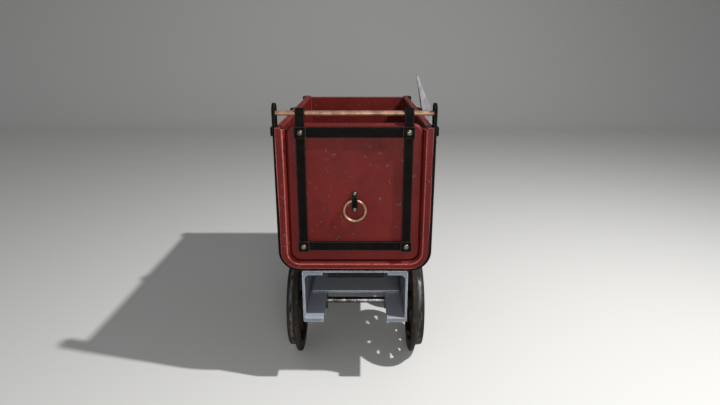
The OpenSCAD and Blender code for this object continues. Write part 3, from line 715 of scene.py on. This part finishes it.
def makeCornerPieces():
    # small square plates over the strap crossings, and a domed bolt through each
    low, high = boxOf("corner_plates")
    strapLow, strapHigh = boxOf("right_hinge_strap")
    half = door["cornerPlate"] / 2
    shank = boxOf("corner_bolts")[1][1] - low[1]
    x = (strapLow[0] + strapHigh[0]) / 2
    plates = []
    domes = []
    for side in (-1, 1):
        for z in (low[2] + half, high[2] - half):
            nearCorner = (side * x - half, low[1], z - half)
            farCorner = (side * x + half, high[1], z + half)
            plates.append(blockSheet(nearCorner, farCorner, 0.02))
            domes.append(domeSheet((side * x, low[1], z), bolt["domeRadius"], shank))
    makePiece("cornerPlates", plates, blackSteel, "door", ["corner_plates"], bevel=0.0012)
    makePiece("cornerBolts", domes, domeSteel, "door", ["corner_bolts"], sharp=50)


makeDoorPanel()
makeHingeStrap("leftHingeStrap", "left_hinge_strap")
makeHingeStrap("rightHingeStrap", "right_hinge_strap")
makePlateOf("topStrap", "top_strap", "door", blackSteel)
makePlateOf("bottomStrap", "bottom_strap", "door", blackSteel)
makeCornerPieces()
print("door made")


# ---- ring handle ----

ring = {"wire": 0.0055, "bracketPlate": 0.004, "slot": 0.008, "boltRadius": 0.009}


def makeRing():
    # a torus whose wire thickens and thins by 0.2 mm, as a hand-bent ring does
    low, high = boxOf("ring_handle")
    mean = (high[0] - low[0]) / 2 - ring["wire"]
    a = np.linspace(0, tau, 96, endpoint=False)[:, None]
    b = np.linspace(0, tau, 20, endpoint=False)[None]
    wire = ring["wire"] - 0.0002 + 0.0002 * np.sin(3 * a + 1)
    r = mean + wire * np.cos(b)
    middle = (low + high) / 2
    sheet = np.stack([r * np.cos(a), wire * np.sin(b), r * np.sin(a)], axis=-1) + middle
    return makePiece("ringHandle", [(sheet, True, True)], agedBrass, "ring", ["ring_handle"])


def makeRingBracket():
    # a narrow plate, and a strap bent out of it that carries the ring
    low, high = boxOf("ring_bracket")
    boltLow, boltHigh = boxOf("bracket_bolts")
    ringLow, ringHigh = boxOf("ring_handle")
    thin = ring["bracketPlate"]
    plate = blockSheet((low[0], high[1] - thin, low[2]), (high[0], high[1], high[2]), 0.02)
    y = (ringLow[1] + ringHigh[1]) / 2
    z = ringHigh[2] - ring["wire"]
    reach = ring["slot"] + thin / 2
    back = high[1] - thin / 2
    loop = np.concatenate([[[back, z + reach]], arc((y, z), reach, 90, 270, 15), [[back, z - reach]]])
    across = leftOf(loop)
    section = np.array([[-thin / 2, low[0]], [thin / 2, low[0]], [thin / 2, high[0]], [-thin / 2, high[0]]])
    saddle = sweptBar(inYZ(loop), inYZ(across), np.array([1, 0, 0]), section)
    makePiece("ringBracket", [plate, saddle], blackSteel, "door", ["ring_bracket"],
              bevel=0.0009)
    front = high[1] - thin
    heads = [domeSheet((0, front, z), ring["boltRadius"], boltHigh[1] - front)
             for z in (boltLow[2] + ring["boltRadius"], boltHigh[2] - ring["boltRadius"])]
    makePiece("bracketBolts", heads, domeSteel, "door", ["bracket_bolts"], sharp=50)


makeRing()
makeRingBracket()
print("ring handle made")


# ---- sills and what lies between them ----

sill = {"web": 0.010, "flange": 0.022, "nose": 0.010, "fillet": 0.004, "bevel": 0.015}


def filled(line):
    # three more points on each straight of a skin: foot, web and top, between its two 9-point corners
    extra = np.linspace(0, 1, 5)[1:-1, None]
    return np.concatenate([line[:1] + (line[1] - line[0]) * np.concatenate([[[0]], extra]), line[1:10],
                           line[9] + (line[10] - line[9]) * extra, line[10:19],
                           line[18] + (line[19] - line[18]) * extra, line[19:]])


def makeSill(name, node, side):
    # a channel: the outer skin goes along the foot, up the web and back along the top
    low, high = boxOf(node)
    tip = low[0] if side > 0 else -high[0]
    outerX = high[0] if side > 0 else -low[0]
    bottom, top = low[2], high[2]
    nose = sill["nose"]
    outer = np.concatenate([[[tip, bottom]], arc((outerX - nose, bottom + nose), nose, 270, 360, 9),
                            arc((outerX - nose, top - nose), nose, 0, 90, 9), [[tip, top]]])
    innerX = outerX - sill["web"]
    fillet = sill["fillet"]
    inner = np.concatenate([[[tip, bottom + sill["flange"]]],
                            arc((innerX - fillet, bottom + sill["flange"] + fillet), fillet, 270, 360, 9),
                            np.linspace([innerX, top - sill["flange"] - sill["bevel"]],
                                        [innerX - sill["bevel"], top - sill["flange"]], 9),
                            [[tip, top - sill["flange"]]]])
    outer = filled(outer)
    inner = filled(inner)
    outer[:, 0] *= side
    inner[:, 0] *= side
    sheets = channelSheets(outer, inner, np.linspace(low[1], high[1], 40))
    return makePiece(name, sheets, sillSteel, "cart", [node], bevel=0.0022, sharp=32, steps=3)


makeSill("leftSill", "left_sill", -1)
makeSill("rightSill", "right_sill", 1)
for name, node in (("frontTie", "front_tie"), ("rearTie", "rear_tie")):
    makePlateOf(name, node, "cart", sillSteel)
for name, node in (("frontCrossPlate", "front_cross_plate"), ("rearCrossPlate", "rear_cross_plate")):
    makePlateOf(name, node, "cart", sillSteel, bevel=0.002)
for name, node in (("frontBolster", "front_bolster"), ("rearBolster", "rear_bolster")):
    makePlateOf(name, node, "cart", bolsterBlack, bevel=0.003)
print("sills made")


# ---- wheels ----

wheel = {"flange": 0.256, "tread": 0.224, "rimInside": 0.206, "hub": 0.046, "bore": 0.0171, "windows": 10,
         "windowPoint": 0.126, "windowBase": 0.190, "windowWidth": 0.056, "discIn": 0.023,
         "discThickness": 0.014, "rimWidth": 0.060, "treadWidth": 0.034, "flangeTop": 0.0195}


def railWear(piece, centre):
    # strongest where the rail runs: exp(-d^2) of the distance d from the tread's worn line
    mesh = piece.data
    points = np.empty(len(mesh.vertices) * 3)
    mesh.vertices.foreach_get("co", points)
    points = points.reshape(-1, 3)
    radius = np.hypot(points[:, 1] - centre[1], points[:, 2] - centre[2])
    x = np.abs(points[:, 0])
    line = x.max() - wheel["treadWidth"] * 0.62
    onTread = np.clip((radius - wheel["tread"] + 0.010) / 0.004, 0, 1) * np.exp(-((x - line) / 0.0065) ** 2)
    mesh.attributes.new("railWear", "FLOAT", "POINT").data.foreach_set("value", onTread.astype(np.float32))


def makeWheel(name, node):
    low, high = boxOf(node)
    side = 1 if high[0] > 0 else -1
    inX, outX = (low[0], high[0]) if side > 0 else (-high[0], -low[0])
    centre = np.array([0, (low[1] + high[1]) / 2, (low[2] + high[2]) / 2])
    rimX = outX - wheel["rimWidth"]
    gaugeX = outX - wheel["treadWidth"]
    flange, tread, inside = wheel["flange"], wheel["tread"], wheel["rimInside"]
    rim = rounded([[inside, rimX], [flange, rimX], [flange, rimX + wheel["flangeTop"]],
                   [tread + 0.003, gaugeX - 0.002], [tread - 0.003, outX], [inside, outX]],
                  [0.004, 0.007, 0.008, 0.005, 0.004, 0.003], 6)
    hub = rounded([[wheel["bore"], inX], [wheel["hub"], inX], [wheel["hub"], outX], [wheel["bore"], outX]],
                  [0.001, 0.005, 0.005, 0.001], 5)
    sheets = [lathed(spaced(rim, 0.005, closed=True), centre, "x", 160),
              lathed(spaced(hub, 0.02, closed=True), centre, "x", 64)]
    # one sector of the web: the grid runs from its window's edge to the sector's border
    half = pi / wheel["windows"]
    point, base, wide = wheel["windowPoint"], wheel["windowBase"], wheel["windowWidth"] / 2
    window = rounded([[base, -wide], [base, wide], [point, 0.004], [point, -0.004]],
                     [0.008, 0.008, 0.003, 0.003], 6)
    window = spaced(window, 0.009, closed=True)
    a = np.linspace(-half, half, 9)
    rimR, hubR = inside + 0.003, wheel["hub"] - 0.003
    radial = np.linspace(rimR, hubR, 12)
    border = np.concatenate([rimR * np.stack([np.cos(a), np.sin(a)], axis=1),
                             radial[1:, None] * [[cos(half), sin(half)]],
                             (hubR * np.stack([np.cos(a), np.sin(a)], axis=1))[::-1][1:],
                             radial[::-1][1:-1, None] * [[cos(half), -sin(half)]]])
    # both loops start at the lower end of the outer side; the window is sampled at the border's shares
    closedWindow = np.concatenate([window, window[:1]])
    marks = [0, 8, 19, 27, len(border)]
    run = np.concatenate([[0], np.cumsum(np.linalg.norm(np.diff(closedWindow, axis=0), axis=1))])
    corners = np.array([0.0, 0.30, 0.63, 0.67, 1.0]) * run[-1]
    at = np.interp(np.arange(len(border)), marks, corners)
    loop = np.stack([np.interp(at, run, closedWindow[:, 0]), np.interp(at, run, closedWindow[:, 1])], axis=1)
    share = np.linspace(0, 1, 5)[:, None, None]
    sector = loop[None] * (1 - share) + border[None] * share
    discX = rimX + wheel["discIn"]
    for k in range(wheel["windows"]):
        turn = tau / wheel["windows"] * (k + 0.5)
        r0 = sector[..., 0] * cos(turn) - sector[..., 1] * sin(turn)
        r1 = sector[..., 0] * sin(turn) + sector[..., 1] * cos(turn)
        faces = [np.stack([np.full(r0.shape, x), r0, r1], axis=-1) + centre
                 for x in (discX, discX + wheel["discThickness"])]
        sheets += [(face, False, True) for face in faces]
        sheets.append((np.stack([faces[0][0], faces[1][0]]), False, True))
        for a0, a1 in ((0, 9), (19, 28)):
            sheets.append((np.stack([faces[0][-1][a0:a1], faces[1][-1][a0:a1]]), False, False))
    sheets = [(grid * [side, 1, 1], wrapRows, wrapCols) for grid, wrapRows, wrapCols in sheets]
    body = "front_wheelset" if centre[1] < 0 else "rear_wheelset"
    piece = makePiece(name, sheets, wheelIron, body, [node], bevel=0.0012, sharp=42)
    railWear(piece, centre)
    return piece


def makeAxle(name, node, body):
    # a turned shaft: plain between the hubs, with a shallow shoulder at each box and centred ends
    low, high = boxOf(node)
    radius = (high[1] - low[1]) / 2
    # places along half a shaft of 353 mm, and how far the surface lies below its full radius there
    s = np.array([0, 0.004, 0.03, 0.1, 0.145, 0.1455, 0.228, 0.2285, 0.33, 0.348, 0.3505, 0.353])
    below = np.array([0.0015, 0.0015, 0.0015, 0.0015, 0.0015, 0.00005, 0.00005, 0, 0, 0, 0.001, 0.003])
    half = np.stack([radius - below, s * (high[0] / 0.353)], axis=1)
    ends = np.array([[0.004, high[0]], [0.0, high[0] - 0.004]])
    half = np.concatenate([half, ends])
    profile = np.concatenate([half[::-1] * [1, -1], half[1:]])
    centre = (0, (low[1] + high[1]) / 2, (low[2] + high[2]) / 2)
    sheet = lathed(profile, centre, "x", 40, closed=False)
    return makePiece(name, [sheet], turnedSteel, body, [node], sharp=45)


for end in ("front", "rear"):
    for side in ("left", "right"):
        makeWheel(f"{end}{side.capitalize()}Wheel", f"{end}_{side}_wheel")
    makeAxle(f"{end}Axle", f"{end}_axle", f"{end}_wheelset")
print("wheels made")


# ---- pick ----

pick = {"lean": radians(16.3), "handle": 0.017}


def atEye(across, up, eye):
    # head frame to cart frame: up leans towards the tub by the lean angle
    x = across * cos(pick["lean"]) - up * sin(pick["lean"]) + eye[0]
    z = across * sin(pick["lean"]) + up * cos(pick["lean"]) + eye[2]
    return x, z


def makePickHead(eye):
    # a chamfered rectangle carried up the head; its half width and half depth follow the forged shape
    up = np.array([-0.088, -0.083, -0.05, -0.034, -0.024, -0.012, 0.0, 0.012, 0.024, 0.036, 0.06, 0.11,
                   0.2, 0.27, 0.294, 0.3])
    width = np.array([0.017, 0.020, 0.020, 0.022, 0.027, 0.0305, 0.031, 0.0305, 0.028, 0.026, 0.026, 0.024,
                      0.0132, 0.0055, 0.0025, 0.0005])
    depth = np.array([0.015, 0.018, 0.018, 0.0185, 0.020, 0.021, 0.021, 0.021, 0.020, 0.0175, 0.0165, 0.0135,
                      0.0080, 0.0040, 0.0024, 0.0005])
    fine = np.concatenate([np.linspace(up[k], up[k + 1], 5)[:-1] for k in range(len(up) - 1)] + [up[-1:]])
    width = np.interp(fine, up, width)
    depth = np.interp(fine, up, depth)
    octagon = rounded([[-1, -1], [1, -1], [1, 1], [-1, 1]], 0.28, 2)
    across = width[:, None] * octagon[None, :, 0]
    y = depth[:, None] * octagon[None, :, 1]
    x, z = atEye(across, fine[:, None] + 0 * across, eye)
    ringed = np.stack([x, y + eye[1], z], axis=-1)
    ends = ringed[[0, -1]].mean(axis=1, keepdims=True).repeat(len(octagon), axis=1)
    sheet = np.concatenate([ends[:1], ringed, ends[1:]])
    return makePiece("pickHead", [(sheet, False, True)], forgedSteel, "pick", ["pick_head"],
                     bevel=0.0009, sharp=30)


def makePickHandle(eye):
    # an oval section along Y: it swells once, near its end of greater Y, and ends in a round nose
    low, high = boxOf("pick_handle")
    s = np.linspace(0, 1, 60)
    y = low[1] + (high[1] - low[1]) * s
    radius = pick["handle"] + 0.0022 * np.exp(-((s - 0.93) / 0.05) ** 2)
    nose = np.minimum(1, np.sqrt(np.clip(1 - (1 - np.minimum(s, 1 - s) / 0.012).clip(0, 1) ** 2, 0, 1)))
    radius = radius * np.maximum(nose, 0.0) - 0.0003
    a = np.linspace(0, tau, 32, endpoint=False)
    across = np.maximum(radius, 0)[:, None] * 0.96 * np.cos(a)[None]
    up = np.maximum(radius, 0)[:, None] * np.sin(a)[None]
    x, z = atEye(across, up, eye)
    sheet = np.stack([x, np.broadcast_to(y[:, None], x.shape), z], axis=-1)
    return makePiece("pickHandle", [(sheet, False, True)], ashWood, "pick", ["pick_handle"],
                     sharp=60)


hook = {"thickness": 0.006, "radius": 0.018}


def makeHook(name, node, eye):
    # a back plate on the tub, and a bar that runs out and curls up round the handle
    low, high = boxOf(node)
    thick = hook["thickness"]
    plate = blockSheet((low[0], low[1], low[2]), (low[0] + thick, high[1], high[2]), 0.03, axis=2)
    mean = hook["radius"] + thick / 2
    curl = arc((eye[0], eye[2]), mean, 270, 370, 16)
    start = np.array([[low[0] + thick / 2, eye[2] - mean]])
    rise = arc((eye[0], eye[2]), mean, 180, 262, 12)
    path = np.concatenate([spaced(np.concatenate([start, curl[:1]]), 0.02)[:-1], curl])
    sheets = [plate]
    for line in (path, rise):
        across = leftOf(line)
        path3 = inXZ(line, (low[1] + high[1]) / 2)
        halfY = (high[1] - low[1]) / 2 - (0.0 if line is path else 0.002)
        section = np.array([[-1, -1], [1, -1], [1, 1], [-1, 1]]) * [thick / 2, halfY]
        sheets.append(sweptBar(path3, inXZ(across), np.array([0, 1, 0]), section))
    return makePiece(name, sheets, blackSteel, "cart", [node], bevel=0.0012)


handleLow, handleHigh = boxOf("pick_handle")
headLow, headHigh = boxOf("pick_head")
pickEye = ((handleLow + handleHigh) / 2) * [1, 0, 1] + [0, (headLow[1] + headHigh[1]) / 2, 0]
makePickHead(pickEye)
makePickHandle(pickEye)
makeHook("frontPickHook", "front_pick_hook", pickEye)
makeHook("rearPickHook", "rear_pick_hook", pickEye)
print("pick made")


# ---- CAD nodes that stay as they are, with their real finishes ----

def paintNode(node, look):
    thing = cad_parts[node]
    thing.data.materials.clear()
    thing.data.materials.append(look)


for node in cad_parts:
    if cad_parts[node].hide_render:
        continue
    if node.startswith("axle_box") and node != "axle_box_bolts":
        paintNode(node, castIron)
    elif node.startswith("bush"):
        paintNode(node, bearingBronze)
    else:
        paintNode(node, boltSteel)
print("remaining nodes painted")


# ---- studio ----

studio = {"floor": "c9c8c5", "keyPower": 330.0, "keySize": 0.12, "fillPower": 18.0, "lowPower": 55.0,
          "worldStrength": 0.34,
          "cameraPlace": (0.0270, -2.6246, 1.5307), "cameraTurn": (72.357, 0.0, 0.148), "lens": 25.274}


def makeBackdrop():
    # a floor that sweeps up behind the object: flat, a quarter circle of 2.5 m, then upright
    bend = arc((6.5, 2.5), 2.5, 270, 360, 24)
    profile = np.concatenate([[[-14, 0]], bend, [[9.0, 9.0]]])
    x = np.linspace(-16, 16, 9)
    sheet = np.stack([np.broadcast_to(x[:, None], (9, len(profile))),
                      np.broadcast_to(profile[None, :, 0], (9, len(profile))),
                      np.broadcast_to(profile[None, :, 1], (9, len(profile)))], axis=-1)
    mesh = bpy.data.meshes.new("backdrop")
    mesh.from_pydata(sheet.reshape(-1, 3).tolist(), [], gridFaces(9, len(profile), False, False).tolist())
    mesh.flip_normals()
    mesh.shade_smooth()
    # matt painted floor
    look, _, shader, _ = newLook("paleFloor", 0.85, 0.0)
    shader.inputs["Base Color"].default_value = srgb(studio["floor"])
    mesh.materials.append(look)
    backdrop = bpy.data.objects.new("backdrop", mesh)
    bpy.context.collection.objects.link(backdrop)


def makeLight(name, direction, distance, power, size):
    light = bpy.data.lights.new(name, "AREA")
    light.energy = power
    light.size = size
    lamp = bpy.data.objects.new(name, light)
    way = np.array(direction, float) / np.linalg.norm(direction)
    lamp.location = way * distance + np.array([0, 0, 0.7])
    pitch = np.arccos(way[2])
    heading = np.arctan2(way[1], way[0]) + pi / 2
    lamp.rotation_euler = (pitch, 0, heading)
    lamp.visible_camera = False
    bpy.context.collection.objects.link(lamp)


makeBackdrop()
makeLight("key", (0.7314, -0.3564, 1.0), 5.0, studio["keyPower"], studio["keySize"])
makeLight("fill", (-0.6, -1.0, 0.5), 6.0, studio["fillPower"], 3.0)
makeLight("low", (0.08, -1.0, 0.2), 4.0, studio["lowPower"], 1.2)
world = bpy.data.worlds.new("studio")
world.use_nodes = True
world.node_tree.nodes["Background"].inputs[0].default_value = srgb("d8dade")
world.node_tree.nodes["Background"].inputs[1].default_value = studio["worldStrength"]
bpy.context.scene.world = world
camera = bpy.data.cameras.new("camera")
camera.lens = studio["lens"]
camera.sensor_width = 36.0
eyePoint = bpy.data.objects.new("camera", camera)
eyePoint.location = studio["cameraPlace"]
eyePoint.rotation_euler = [radians(v) for v in studio["cameraTurn"]]
bpy.context.collection.objects.link(eyePoint)
bpy.context.scene.camera = eyePoint
bpy.context.scene.view_settings.view_transform = "Standard"
print("studio set")
